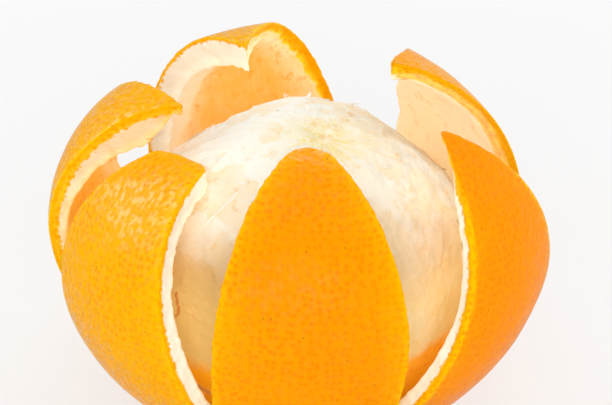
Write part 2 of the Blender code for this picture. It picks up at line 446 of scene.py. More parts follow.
@dataclass(frozen=True)
class Petal:
    """One flap of rind.

    It leans out by its swing between two rind angles, curls back in, leans aside by its sway and
    flattens crosswise.  Its free end reaches the tip's rind angle in a half ellipse, moved aside
    by the skew in half widths; its cut walls slant by the bevels.  Tone is how deep the skin's
    orange is, painted glow how strongly light through the rind is painted on its inside as orange
    colour and emission, zest how deep the yellow layer in millimetres.
    """

    heading: float
    swing: float
    hinge_start: float
    hinge_end: float
    tip: float
    curl: float
    sway: float
    flattening: float
    rounding: float
    bevel_left: float
    bevel_right: float
    skew: float
    tone: float
    glow: float
    zest: float


@dataclass(frozen=True)
class Cut:
    """One cut between two petals: heading at its lower end, then its drift and bow upwards."""

    heading: float
    drift: float
    bow: float


@dataclass(frozen=True)
class Tear:
    """A place where the pith was torn, in rind angle and share of half width.

    Attributes:
        petal: number of the petal.
        angle: rind angle of its middle, in degrees.
        across: place of its middle, -1 on the left cut and 1 on the right cut.
        angle_spread: how far it reaches along the petal, in degrees.
        across_spread: how far it reaches sideways.
        height: how much thicker the rind is there, in metres; negative where it is thinner.
        white: how white and fresh the pith is there.
        cutback: how far the inside is torn back from the cut, in metres.
        zest: how much deeper the yellow layer reaches there, in millimetres.
    """

    petal: int
    angle: float
    across: float
    angle_spread: float
    across_spread: float
    height: float
    white: float = 0.0
    cutback: float = 0.0
    zest: float = 0.0


@dataclass(frozen=True)
class Lump:
    """A soft swelling, dent or stain on the peeled fruit."""

    heading: float
    angle: float
    spread: float
    height: float

    def at(self, angle: Array, heading: Array) -> Array:
        """Height times exp of minus the squared distance, in degrees, over the spread."""
        east = near(heading, self.heading) - self.heading
        apart = np.hypot(angle - self.angle, east * np.sin(np.radians(angle)))
        return self.height * np.exp(-(apart / self.spread) ** 2)


@dataclass(frozen=True)
class Form:
    """Sizes of the uncut orange and how it is cut and opened, the same as the CAD model's."""

    body_radius: float = 40.0 * MM
    body_half_height: float = 39.6 * MM
    body_squareness: float = 2.1
    rind_at_side: float = 3.6 * MM
    rind_at_poles: float = 4.8 * MM
    flat_radius: float = 8.0 * MM
    cut_start: float = 40.0
    slit_width: float = 1.4 * MM
    slit_rise: float = 9.0
    blend_width: float = 14.0
    blend_rise: float = 18.0
    bevel_rise: float = 20.0
    curl_start: float = 80.0
    curl_end: float = 175.0
    table_steps: int = 720
    petals: tuple[Petal, ...] = (
        Petal(2.0, 12.0, 22.0, 71.0, 173.5, 16.0, 3.6, 0.37, 5.5, 0.0, 0.0, 0.0,
              tone=0.70, glow=0.50, zest=0.8),
        Petal(47.0, 20.0, 14.0, 88.0, 166.5, 6.5, 11.0, 0.25, 32.0, 1.5, -2.5, 0.0,
              tone=0.95, glow=0.35, zest=1.2),
        Petal(118.5, 14.7, 28.5, 93.0, 167.5, 6.6, 5.1, 0.45, 57.0, 0.0, 1.5, -1.25,
              tone=0.45, glow=0.12, zest=2.1),
        Petal(193.0, 24.5, 21.0, 62.0, 176.5, 18.0, 7.8, 0.35, 6.0, 0.0, 4.5, 0.0,
              tone=0.15, glow=0.70, zest=0.7),
        Petal(250.5, 20.5, 21.0, 84.0, 175.0, 17.5, 13.8, -0.10, 39.0, 0.0, -1.5, 0.0,
              tone=0.10, glow=1.00, zest=1.9),
        Petal(313.0, 13.5, 24.0, 65.0, 160.0, 26.0, -7.2, 0.33, 5.5, -1.0, 0.0, 0.86,
              tone=0.20, glow=0.20, zest=0.8),
    )
    cuts: tuple[Cut, ...] = (
        Cut(-23.0, -14.0, -1.0),
        Cut(26.0, 12.0, 5.5),
        Cut(86.5, 0.5, 6.0),
        Cut(159.5, 10.5, -0.5),
        Cut(223.0, -14.0, 6.0),
        Cut(276.5, -14.0, 3.5),
    )

    def round_profile(self, angle: Array, radius: float, half_height: float,
                      squareness: float) -> tuple[Array, ...]:
        """Squared-off ellipse: |radius share| and |height share| to the squareness sum to 1.

        Args:
            angle: rind angle in degrees.
            radius: half width in metres.
            half_height: half height in metres.
            squareness: 2 for an ellipse, more for a squarer outline.

        Returns:
            Radius, height above the bottom and the unit normal's two parts.
        """
        sine = np.sin(np.radians(angle))
        cosine = -np.cos(np.radians(angle))
        size = (np.abs(sine) ** squareness + np.abs(cosine) ** squareness) ** (-1.0 / squareness)
        across, along = sine * size, cosine * size
        out = np.abs(across) ** (squareness - 1.0) / radius
        up = np.sign(along) * np.abs(along) ** (squareness - 1.0) / half_height
        length = np.hypot(out, up)
        return radius * across, half_height * (1.0 + along), out / length, up / length

    def body_profile(self, angle: Array) -> tuple[Array, ...]:
        """Outline of the uncut orange's skin, and its normal, before the flat spot is taken off."""
        return self.round_profile(angle, self.body_radius, self.body_half_height,
                                  self.body_squareness)

    def flat_spot(self) -> tuple[float, float]:
        """Rind angle at the flat spot's rim and the rim's height above the round bottom."""
        angle = np.linspace(0.0, 90.0, self.table_steps)
        radius, height, _, _ = self.body_profile(angle)
        return (float(np.interp(self.flat_radius, radius, angle)),
                float(np.interp(self.flat_radius, radius, height)))

    def rind_profile(self, angle: Array, depth: Array | float = 0.0) -> tuple[Array, Array]:
        """Radius and height of the uncut rind at a depth under the skin, along its normal."""
        radius, height, out, up = self.body_profile(angle)
        return radius - depth * out, height - depth * up - self.flat_spot()[1]

    def rind_thickness(self, angle: Array) -> Array:
        """Thickness: the side's plus the difference to the poles' times cosine squared."""
        poleward = np.cos(np.radians(angle)) ** 2
        return self.rind_at_side + (self.rind_at_poles - self.rind_at_side) * poleward

    def opened(self, petal: Petal, angle: Array) -> Array:
        """How far a petal has swung open: a smooth step between its hinge angles."""
        return smooth_step((angle - petal.hinge_start) / (petal.hinge_end - petal.hinge_start))

    def centreline(self, petal: Petal) -> tuple[Array, ...]:
        """Middle line of a petal: each short step of the uncut profile turned out by swing - curl.

        Args:
            petal: the petal.

        Returns:
            Tables of rind angle, radius, height and turn.
        """
        angle = np.linspace(0.0, 180.0, self.table_steps + 1)
        curl = petal.curl * smooth_step(
            (angle - self.curl_start) / (self.curl_end - self.curl_start))
        turn = np.radians(petal.swing * self.opened(petal, angle) - curl)
        radius, height = self.rind_profile(angle)
        middle = 0.5 * (turn[1:] + turn[:-1])
        step_out, step_up = np.diff(radius), np.diff(height)
        out = step_out * np.cos(middle) + step_up * np.sin(middle)
        up = step_up * np.cos(middle) - step_out * np.sin(middle)
        return (angle, np.concatenate(([radius[0]], radius[0] + np.cumsum(out))),
                np.concatenate(([height[0]], height[0] + np.cumsum(up))), turn)

    def petal_points(self, petal: Petal, angle: Array, heading: Array, depth: Array) -> Array:
        """Points of the uncut rind carried to where a petal stands open.

        A point keeps its offset from the middle line at its rind angle.  The offset turns with
        the line, its crosswise curve is partly flattened, and the petal leans by its sway about
        the orange's middle height.

        Args:
            petal: the petal.
            angle: rind angles in degrees.
            heading: headings in degrees.
            depth: depths under the skin in metres.

        Returns:
            Positions with x, y and z last.
        """
        table, line_radius, line_height, line_turn = self.centreline(petal)
        turn = np.interp(angle, table, line_turn)
        grown = self.opened(petal, angle)
        skin_radius, skin_height = self.rind_profile(angle)
        radius, height = self.rind_profile(angle, depth)
        keep = 1.0 - petal.flattening * grown
        aside = np.radians(heading - petal.heading) * keep
        curve = skin_radius / keep
        offset_out = (curve - skin_radius + radius) * np.cos(aside) - curve
        offset_side = (curve - skin_radius + radius) * np.sin(aside)
        offset_up = height - skin_height
        out = (np.interp(angle, table, line_radius)
               + offset_out * np.cos(turn) + offset_up * np.sin(turn))
        up = (np.interp(angle, table, line_height)
              - offset_out * np.sin(turn) + offset_up * np.cos(turn))
        lean = np.radians(petal.sway) * grown
        above = up - (self.body_half_height - self.flat_spot()[1])
        side = offset_side * np.cos(lean) + above * np.sin(lean)
        up = up - above + above * np.cos(lean) - offset_side * np.sin(lean)
        compass = math.radians(petal.heading)
        return stack(out * math.sin(compass) + side * math.cos(compass),
                     side * math.sin(compass) - out * math.cos(compass), up)

    def cut_pair(self, index: int) -> tuple[Cut, Cut]:
        """Cuts on a petal's left and right, with headings that rise from left to right."""
        right = self.cuts[(index + 1) % len(self.cuts)]
        turn = 360.0 if index == len(self.cuts) - 1 else 0.0
        return self.cuts[index], replace(right, heading=right.heading + turn)

    def shares(self, index: int, angle: Array, heading: Array) -> list[tuple[Petal, Array]]:
        """Petals that a point of the rind goes with: its own and both neighbours.

        A neighbour has a half at the lower end of the cut between them.  That falls off as a
        smooth step away from the cut and up from the cup, and the petal has what is left.

        Args:
            index: number of the petal.
            angle: rind angles in degrees.
            heading: headings in degrees.

        Returns:
            The three petals, each with its share.
        """
        left, right = self.cut_pair(index)
        fade = 0.5 * (1.0 - smooth_step((angle - self.cut_start) / self.blend_rise))
        before, after = (fade * (1.0 - smooth_step(apart / self.blend_width))
                         for apart in (heading - left.heading, right.heading - heading))
        return [(self.petals[index], 1.0 - before - after), (self.petals[index - 1], before),
                (self.petals[(index + 1) % len(self.petals)], after)]

    def rind_points(self, index: int, angle: Array, heading: Array, depth: Array) -> Array:
        """Points of the rind round one petal, blended with its neighbours' by their shares.

        Args:
            index: number of the petal.
            angle: rind angles in degrees.
            heading: headings in degrees.
            depth: depths under the skin in metres.

        Returns:
            Positions with x, y and z last.
        """
        return sum(share[..., None] * self.petal_points(
            petal, angle, near(heading, petal.heading), depth)
            for petal, share in self.shares(index, angle, heading))

    def cut_heading(self, cut: Cut, angle: Array) -> Array:
        """Heading of a cut: its start plus drift times climb squared plus bow times a half sine."""
        climb = np.clip((angle - self.cut_start) / (180.0 - self.cut_start), 0.0, 1.0)
        return cut.heading + cut.drift * climb ** 2 + cut.bow * np.sin(np.pi * climb)


# --------------------------------------------------------------------------- the rind


@dataclass(frozen=True)
class Ring:
    """Outline of a petal's cross-section, point by point round the flap.

    Attributes:
        across: side to side place, -1 on the left cut and 1 on the right cut.
        inset: distance kept from the cut, in metres, which rounds the corners.
        base: depth under the skin in metres, for points near the skin.
        share: depth as a share of the rind's thickness, added to the base.
    """

    across: Array
    inset: Array
    base: Array
    share: Array


@dataclass
class Rind:
    """The rind: one cup and six petals, as one closed mesh."""

    form: Form = field(default_factory=Form)
    outer_columns: int = 28
    inner_columns: int = 24
    wall_points: int = 7
    cup_rows: int = 22
    petal_rows: int = 205
    floor_rows: int = 10
    crowding: float = 0.65
    skin_corner: float = 0.34 * MM
    pith_corner: float = 0.7 * MM
    last_sweep: float = 1.2
    serration: float = 0.16 * MM
    pith_recess: float = 0.70 * MM
    tip_recess: float = 0.6 * MM
    thinnest: float = 1.1 * MM
    pith_relief: float = 0.13
    skin_relief: float = 0.16 * MM
    scar_radius: float = 3.2 * MM
    scar_depth: float = 2.2 * MM
    uncut_rim: float = 50.0 * MM
    shag_from: float = 70.0
    shag_rise: float = 25.0
    relief_from: float = 25.0
    relief_rise: float = 12.0
    teeth: Noise = Noise(11, 0.9 * MM)
    waves: Noise = Noise(11, 2.3 * MM)
    bites: Noise = Noise(11, 2.6 * MM, 3)
    shag: Noise = Noise(23, 6.0 * MM, 4, 0.6)
    rags: Noise = Noise(31, 3.0 * MM, 2)
    swells: Noise = Noise(47, 7.0 * MM, 3, 0.45)
    tears: tuple[Tear, ...] = (
        Tear(4, 157.0, 0.80, 13.0, 0.70, 3.4 * MM),
        Tear(4, 136.0, 1.00, 8.0, 0.30, 1.2 * MM),
        Tear(4, 180.0, 0.60, 8.5, 1.50, -6.0 * MM, zest=1.6),
        Tear(3, 160.0, 0.90, 26.0, 0.46, 2.4 * MM, 2.0),
        Tear(3, 118.0, 1.00, 18.0, 0.25, 0.8 * MM, 1.0),
        Tear(3, 130.0, -1.10, 70.0, 0.50, -2.3 * MM, cutback=2.4 * MM, zest=1.7),
        Tear(2, 130.0, -1.10, 75.0, 0.50, -1.9 * MM, cutback=4.2 * MM, zest=2.4),
        Tear(2, 176.0, 0.00, 13.0, 2.00, -1.8 * MM, zest=1.4),
        Tear(5, 150.0, 0.90, 16.0, 0.35, 0.8 * MM),
        Tear(5, 92.0, 1.00, 36.0, 0.30, 0.6 * MM, 1.1, -1.3 * MM),
        Tear(1, 98.0, -1.00, 36.0, 0.28, -0.3 * MM, 1.0, -1.2 * MM),
        Tear(1, 166.0, 0.00, 17.0, 2.60, -3.2 * MM, zest=2.4),
        Tear(1, 80.0, -1.00, 26.0, 0.30, 0.9 * MM, 0.8),
    )

    def ring(self) -> Ring:
        """Points round a petal: skin left to right, right cut, inside right to left, left cut.

        The columns crowd towards the cuts: their place is a share of the sine of a quarter turn
        plus the rest of an even spacing.

        Returns:
            The ring.
        """
        def columns(count: int) -> Array:
            """Places from -1 to 1 that crowd towards both ends."""
            even = np.linspace(-1.0, 1.0, count)
            return (1.0 - self.crowding) * even + self.crowding * np.sin(0.5 * np.pi * even)

        def round_flap(skin: Array, wall: Array, inside: Array, left: float = 1.0) -> Array:
            """Values round the flap, with the wall's going back up on the left cut."""
            return np.concatenate((skin, wall, inside, left * wall[::-1]))

        skin, inside = columns(self.outer_columns), columns(self.inner_columns)[::-1]
        corner, hollow = self.skin_corner, self.pith_corner
        down = np.linspace(0.0, 1.0, self.wall_points)
        inset = np.concatenate(([0.3 * corner], 0.0 * down, [0.3 * hollow]))
        base = np.concatenate(([0.3 * corner], corner * (1.0 - down) - hollow * down,
                               [-0.3 * hollow]))
        share = np.concatenate(([0.0], down, [1.0]))
        return Ring(across=round_flap(skin, np.ones_like(share), inside, -1.0),
                    inset=round_flap(0.0 * skin + corner, inset, 0.0 * inside + hollow),
                    base=round_flap(0.0 * skin, base, 0.0 * inside),
                    share=round_flap(0.0 * skin, share, 0.0 * inside + 1.0))

    def rows(self, petal: Petal) -> tuple[Array, Array]:
        """Rind angle of each row and its sweep round the tip, 90 degrees on the straight part.

        The rows are shared out by the length of the straight part and of the rounded tip.

        Args:
            petal: the petal.

        Returns:
            Rind angles, which stay at the last straight row's in the tip, and sweeps, as columns.
        """
        form = self.form
        turn = petal.tip - petal.rounding
        straight_length = turn - form.cut_start
        round_length = 1.1 * petal.rounding + 12.0
        straight = int(round(self.petal_rows * straight_length / (straight_length + round_length)))
        flat_angle, _ = form.flat_spot()
        cup = np.linspace(flat_angle, form.cut_start, self.cup_rows + 1)
        climb = np.linspace(form.cut_start, turn, straight + 1)[1:]
        sweep = np.linspace(90.0, self.last_sweep, self.petal_rows - straight + 1)[1:]
        angle = np.concatenate((cup, climb, np.full(sweep.shape, turn)))
        sweep = np.concatenate((np.full(len(cup) + len(climb), 90.0), sweep))
        return angle[:, None], np.radians(sweep[:, None])

    def torn(self, index: int, angle: Array, across: Array) -> dict[str, Array]:
        """What the tears add on a petal: exp of minus the squared distance, times each value.

        Args:
            index: number of the petal.
            angle: rind angles in degrees.
            across: places from the left cut to the right cut.

        Returns:
            Sums of height, white, cutback and zest.
        """
        added = {key: np.zeros(np.broadcast(angle, across).shape)
                 for key in ("height", "white", "cutback", "zest")}
        for tear in self.tears:
            if tear.petal == index:
                apart = np.hypot((angle - tear.angle) / tear.angle_spread,
                                 (across - tear.across) / tear.across_spread)
                for key, total in added.items():
                    total += getattr(tear, key) * np.exp(-apart ** 2)
        return added

    def inset(self, index: int, ring: Ring, angle: Array, sweep: Array, cutback: Array) -> Array:
        """Distance kept from the cuts and the tip.

        The outline is serrated by fine noise.  The pith is recessed by coarser noise and torn
        back by the cutback, towards the inside.

        Args:
            index: number of the petal.
            ring: the cross-section.
            angle: rind angle of each row, in degrees.
            sweep: sweep of each row, in radians.
            cutback: how far the inside is torn back, in metres.

        Returns:
            The distance in metres.
        """
        form, share = self.form, ring.share[None, :]
        across = ring.across[None, :]
        along = np.radians(angle + form.petals[index].rounding * np.cos(sweep)) * form.body_radius
        trace = stack(along, np.sign(across) * 0.02 + 0.05 * index, share * 0.004)
        tooth = self.teeth.at(trace) + 0.7 * self.waves.at(trace + 3.0)
        bite = np.clip(self.bites.at(trace + 9.0) * 1.3 + 0.35, 0.0, 1.4)
        in_pith = smooth_step((share - 0.18) / 0.3)
        rough = np.abs(across) ** 8 * (self.serration * tooth * (1.0 + 0.4 * in_pith)
                                       + self.pith_recess * bite * in_pith
                                       + cutback * (0.7 + 0.4 * bite) * share)
        opened = smooth_step((angle - form.cut_start) / form.slit_rise)
        tip = self.tip_recess * in_pith * np.cos(sweep) ** 3 * (0.6 + 0.5 * bite)
        return opened * (ring.inset[None, :] + rough) + tip

    def depth(self, ring: Ring, angle: Array, heading: Array, opened: Array,
              height: Array) -> Array:
        """Depth under the skin: pith and skin are raised and lowered by noise and by the tears.

        Args:
            ring: the cross-section.
            angle: rind angles in degrees.
            heading: headings in degrees.
            opened: 0 in the cup and 1 where the rind is cut.
            height: how much thicker the tears make the rind, in metres.

        Returns:
            The depth in metres.
        """
        form, share = self.form, ring.share[None, :]
        skin_radius, skin_height = form.rind_profile(angle)
        compass = np.radians(heading)
        place = stack(skin_radius * np.sin(compass), -skin_radius * np.cos(compass), skin_height)
        thickness = form.rind_thickness(angle)
        shaggy = self.shag.at(place) * smooth_step((angle - self.shag_from) / self.shag_rise)
        ragged = 1.0 + 0.35 * self.rags.at(place)
        thicker = self.pith_relief * shaggy * thickness + height * ragged
        through = np.maximum(thickness + thicker, self.thinnest)
        swell = self.skin_relief * self.swells.at(place)
        relief = smooth_step((angle - self.relief_from) / self.relief_rise)
        return (ring.base[None, :] * opened + share * through
                - swell * (1.0 - share) * relief)

    def layout(self, index: int, ring: Ring) -> dict[str, Array]:
        """Rind angle, heading and depth of every point of a petal, and its colour numbers.

        The half width follows the cuts and runs in to the tip as the sine of the sweep, while
        the rind angle gains the rounding times its cosine, so the end is a half ellipse.  The
        skew moves the middle aside by its share of the half width times one minus that sine.

        Args:
            index: number of the petal.
            ring: the cross-section.

        Returns:
            Arrays of rows by ring points; lengths are in metres.
        """
        form = self.form
        petal = form.petals[index]
        base, sweep = self.rows(petal)
        across, share = ring.across[None, :], ring.share[None, :]
        opened = smooth_step((base - form.cut_start) / form.slit_rise)
        torn = self.torn(index, base + petal.rounding * np.cos(sweep), across)
        inset = self.inset(index, ring, base, sweep, torn["cutback"])
        tip_inset = np.minimum(np.degrees(inset / form.body_radius), 0.8 * petal.rounding)
        angle = base + (petal.rounding - tip_inset) * np.cos(sweep)
        skin_radius, _ = form.rind_profile(angle)
        start_radius, _ = form.rind_profile(np.array(form.cut_start))
        slit = 0.5 * math.degrees(form.slit_width / float(start_radius)) * opened
        slant = share * smooth_step((angle - form.cut_start) / form.bevel_rise)
        left, right = form.cut_pair(index)
        west = form.cut_heading(left, angle) + slit + petal.bevel_left * slant
        east = form.cut_heading(right, angle) - slit - petal.bevel_right * slant
        half = 0.5 * (east - west)
        middle = 0.5 * (west + east) + half * petal.skew * (1.0 - np.sin(sweep))
        side_inset = np.minimum(np.degrees(inset / skin_radius), 0.6 * half)
        heading = middle + across * (half - side_inset) * np.sin(sweep)
        rim = np.minimum(half * (1.0 - np.abs(across) * np.sin(sweep)), 90.0)
        shares = form.shares(index, angle, heading)
        look = {key: sum(getattr(owner, key) * part for owner, part in shares)
                for key in ("tone", "glow", "zest")}
        return {"angle": angle, "heading": heading,
                "depth": self.depth(ring, angle, heading, opened, torn["height"]),
                "lateral": np.radians(heading - petal.heading) * skin_radius,
                "rim": np.radians(rim) * skin_radius + self.uncut_rim * (1.0 - opened),
                **look, "zest": look["zest"] + torn["zest"], "white": torn["white"],
                "inside": np.broadcast_to(share, angle.shape)}

    def faces(self, rows: int) -> tuple[Array, ...]:
        """Quads of one petal's skin, cut walls and inside, closed at the blunt end.

        Args:
            rows: number of rows.

        Returns:
            Quads of the skin, of the walls and of the inside.
        """
        def closed(columns: Array) -> Array:
            """Quads of a side, and between the two halves of its last row."""
            half = columns.shape[1] // 2
            low, high = columns[-1, :half], columns[-1, ::-1][:half]
            fan = np.stack((low[:-1], low[1:], high[1:], high[:-1]), axis=-1)
            return np.concatenate((grid_quads(columns), fan))

        wall, outer, inner = self.wall_points + 2, self.outer_columns, self.inner_columns
        count = outer + inner + 2 * wall
        index = ringed(np.arange(rows * count).reshape(rows, count))
        right = index[:, outer - 1:outer + wall + 1]
        left = index[:, outer + wall + inner - 1:]
        end_right, end_left = right[-1], left[-1][::-1]
        end = np.stack((end_left[:-1], end_right[:-1], end_right[1:], end_left[1:]), axis=-1)
        walls = np.concatenate((grid_quads(right[self.cup_rows:]), grid_quads(left[self.cup_rows:]),
                                end))
        return closed(index[:, :outer]), walls, closed(index[:, outer + wall:outer + wall + inner])

    def disc(self, rim: Array, scar: bool) -> Array:
        """Rings that shrink from a rim to the middle.

        Outside, the floor is level out to the scar, then rises by a half cosine to the scar's
        depth, with a slightly raised knob in the middle.  Inside, it falls to the pole's depth
        with the square of the distance.

        Args:
            rim: points of the rim, anticlockwise.
            scar: whether this is the outside, with the stem scar.

        Returns:
            Rings of points by rim points.
        """
        form = self.form
        share = np.linspace(1.0, 0.0, self.floor_rows + 1)[:, None]
        radius = share * np.hypot(rim[:, 0], rim[:, 1])[None, :]
        heading = np.arctan2(rim[:, 1], rim[:, 0])[None, :]
        if scar:
            bowl = 0.5 + 0.5 * np.cos(np.pi * np.clip(radius / self.scar_radius, 0.0, 1.0))
            knob = np.exp(-(radius / (0.45 * self.scar_radius)) ** 2)
            star = 1.0 + 0.25 * np.cos(5.0 * heading)
            height = np.maximum(self.scar_depth * (bowl - 0.5 * knob * star), 0.0)
        else:
            bottom = form.rind_profile(np.array(0.0), form.rind_at_poles)[1]
            height = bottom + (rim[None, :, 2] - bottom) * share ** 2
        return stack(radius * np.cos(heading), radius * np.sin(heading), height)

    def build(self) -> bpy.types.Object:
        """Build the whole rind: six petals that join in the cup, and the two discs at its bottom.

        Returns:
            The rind's object.
        """
        form, ring, pile = self.form, self.ring(), Pile()
        outer = slice(0, self.outer_columns - 1)
        inner_end = self.outer_columns + self.wall_points + 1 + self.inner_columns
        inner = slice(inner_end, inner_end - self.inner_columns + 1, -1)
        rims: tuple[list[Array], list[Array]] = ([], [])
        for index in range(len(form.petals)):
            part = self.layout(index, ring)
            angle, heading, lateral = (part.pop(key) for key in ("angle", "heading", "lateral"))
            points = form.rind_points(index, angle, heading, part["depth"])
            points[0, :self.outer_columns, 2] = 0.0
            along = np.radians(angle) * form.body_radius
            surface = np.stack((lateral, along), axis=-1) / MM
            deep = np.stack((lateral + np.sign(ring.across)[None, :] * part["depth"], along),
                            axis=-1) / MM
            part["depth"] = part["depth"] / MM
            part["rim"] = part["rim"] / MM
            pile.add(points, list(zip(self.faces(len(points)), (surface, deep, surface))), part)
            rims[0].append(points[0, outer])
            rims[1].append(points[0, inner])
        for scar, rim in zip((True, False), rims):
            rings = self.disc(np.concatenate(rim), scar)
            index = ringed(np.arange(rings[..., 0].size).reshape(rings.shape[:2]))
            pile.add(rings, [(grid_quads(index, inside_out=scar), rings[..., :2] / MM)],
                     {"depth": 0.0 if scar else form.rind_at_poles / MM, "rim": 20.0, "tone": 0.5,
                      "glow": 0.5, "zest": 0.8, "white": 0.0, "inside": 0.0 if scar else 1.0})
        return pile.build("rind")


# --------------------------------------------------------------------------- the peeled fruit


@dataclass
class Fruit:
    """The whole peeled fruit in its pith, as one closed mesh."""

    form: Form = field(default_factory=Form)
    clearance: float = 0.45 * MM
    crown_height: float = 32.0 * MM
    squareness: float = 2.05
    columns: int = 420
    low_rows: int = 34
    high_rows: int = 194
    plain_to: float = 66.0
    star_x: float = 6.0 * MM
    star_y: float = -3.6 * MM
    star_spread: float = 8.0 * MM
    segments: int = 11
    fibres: float = 13.0
    lumps: tuple[Lump, ...] = (
        Lump(225.0, 137.0, 22.0, -2.4 * MM),
        Lump(125.0, 130.0, 20.0, -1.4 * MM),
        Lump(75.0, 108.0, 28.0, 0.6 * MM),
    )
    stains: tuple[Lump, ...] = (
        Lump(232.0, 128.0, 6.0, 0.9),
        Lump(262.0, 118.0, 9.0, 0.5),
        Lump(120.0, 118.0, 9.0, 0.4),
        Lump(-42.0, 97.9, 0.75, 2.4),
        Lump(-41.2, 99.1, 0.75, 2.4),
        Lump(-41.1, 100.4, 0.75, 2.4),
        Lump(-41.2, 101.7, 0.75, 2.4),
        Lump(-42.0, 102.9, 0.75, 2.4),
        Lump(-42.1, 104.2, 0.75, 2.4),
        Lump(-42.8, 105.5, 0.75, 2.4),
        Lump(-42.9, 106.8, 0.75, 2.0),
        Lump(-37.0, 72.0, 1.6, 2.0),
        Lump(-34.5, 70.8, 1.6, 2.1),
        Lump(-31.5, 69.6, 1.6, 2.0),
    )
    cloud_height: float = 0.55 * MM
    flake_height: float = 0.30 * MM
    scrap_height: float = 0.14 * MM
    fibre_height: float = 0.26 * MM
    groove_depth: float = 0.30 * MM
    groove_from: float = 3.0 * MM
    groove_rise: float = 9.0 * MM
    fibre_rise: float = 2.0 * MM
    relief_rise: float = 26.0
    warp: Noise = Noise(3, 9.0 * MM, 3)
    ridges: Noise = Noise(5)
    fine_ridges: Noise = Noise(8)
    clouds: Noise = Noise(13, 11.0 * MM, 5, 0.55)
    flakes: Noise = Noise(17, 6.5 * MM, 4, 0.6)
    scraps: Noise = Noise(19, 3.4 * MM, 3, 0.6)

    def profile(self, angle: Array) -> tuple[Array, ...]:
        """Outline: inside of the rind less a clearance below, a lower squared-off ellipse above.

        Args:
            angle: rind angles in degrees.

        Returns:
            Radius, height and the unit normal's two parts.
        """
        form = self.form
        girth = form.body_radius - form.rind_at_side - self.clearance
        waist = form.body_half_height - form.flat_spot()[1]
        low = (*form.rind_profile(angle, form.rind_thickness(angle) + self.clearance),
               *form.body_profile(angle)[2:])
        radius, height, out, up = form.round_profile(
            angle, girth, self.crown_height, self.squareness)
        high = (radius, height - self.crown_height + waist, out, up)
        return tuple(np.where(angle > 90.0, above, below) for above, below in zip(high, low))

    def relief(self, base: Array, angle: Array) -> dict[str, Array]:
        """Height of the pith over the smooth outline, and what it is made of.

        Clouds of noise, plateaus of torn flakes where the noise passes a level, fine ridges that
        run out from the star where the fibres meet, and shallow grooves between the segments.

        Args:
            base: positions on the smooth outline.
            angle: rind angles in degrees.

        Returns:
            Height in metres, and fibre, flake, groove and star between 0 and 1.
        """
        from_x, from_y = base[..., 0] - self.star_x, base[..., 1] - self.star_y
        warp = self.warp.at(base)
        turn = np.arctan2(from_y, from_x) + 0.10 * warp
        reach = np.hypot(from_x, from_y)
        around = stack(np.cos(turn) * self.fibres, np.sin(turn) * self.fibres,
                       reach / (16.0 * MM) + base[..., 2] / (22.0 * MM))
        ridges = 1.0 - np.abs(self.ridges.at(around)) * 2.2
        fine = 1.0 - np.abs(self.fine_ridges.at(around * 2.3)) * 2.0
        star = np.exp(-(reach / self.star_spread) ** 2)
        fibre = (np.clip(0.6 * ridges + 0.4 * fine, 0.0, 1.0) ** 2
                 * smooth_step(reach / self.fibre_rise) * (0.55 + 0.45 * star))
        flake = smooth_step((self.flakes.at(base) + 0.06) / 0.16)
        scrap = smooth_step((self.scraps.at(base) - 0.02) / 0.14)
        groove = (np.exp(-(np.sin(0.5 * self.segments * turn) / 0.20) ** 2)
                  * smooth_step((reach - self.groove_from) / self.groove_rise)
                  * (0.55 - 0.45 * warp))
        height = (self.cloud_height * self.clouds.at(base)
                  + self.flake_height * (flake - 0.5) + self.scrap_height * (scrap - 0.5)
                  + self.fibre_height * fibre - self.groove_depth * groove)
        risen = smooth_step((angle - self.plain_to) / self.relief_rise)
        return {"height": height * risen, "fibre": fibre, "flake": flake, "groove": groove,
                "star": star}

    def points(self, angle: Array, heading: Array) -> dict[str, Array]:
        """Points of the fruit: the outline pushed along its normal by the lumps and the relief.

        Args:
            angle: rind angles in degrees.
            heading: headings in degrees.

        Returns:
            Positions, unit normals, stains and the relief's parts.
        """
        radius, height, out, up = self.profile(angle)
        swell, stain = (sum(lump.at(angle, heading) for lump in lumps)
                        for lumps in (self.lumps, self.stains))
        east, south = np.sin(np.radians(heading)), np.cos(np.radians(heading))
        normal = stack(out * east, -out * south, up)
        smooth = stack(radius * east, -radius * south, height)
        parts = self.relief(smooth, np.broadcast_to(angle, swell.shape))
        moved = smooth + normal * (swell + parts["height"])[..., None]
        return {"points": moved, "normal": normal, "stain": stain, **parts}

    def build(self) -> bpy.types.Object:
        """Build the fruit: rings of points from pole to pole, closer together on the open half.

        Returns:
            The fruit's object.
        """
        rows = np.concatenate((np.linspace(0.0, self.plain_to, self.low_rows + 1),
                               np.linspace(self.plain_to, 180.0, self.high_rows + 1)[1:]))
        columns = np.linspace(0.0, 360.0, self.columns, endpoint=False)
        angle, heading = np.meshgrid(rows, columns, indexing="ij")
        made = self.points(angle, heading)
        points = made["points"]
        for pole in (0, -1):
            points[pole] = points[pole].mean(axis=0)
        pile = Pile()
        pile.add(points, [(grid_quads(ringed(np.arange(angle.size).reshape(angle.shape))),
                           np.stack((heading, angle), axis=-1))],
                 {key: made[key] for key in ("fibre", "flake", "groove", "star", "stain")}
                 | {"swell": made["height"] / MM, "angle": angle})
        return pile.build("fruit_in_pith")


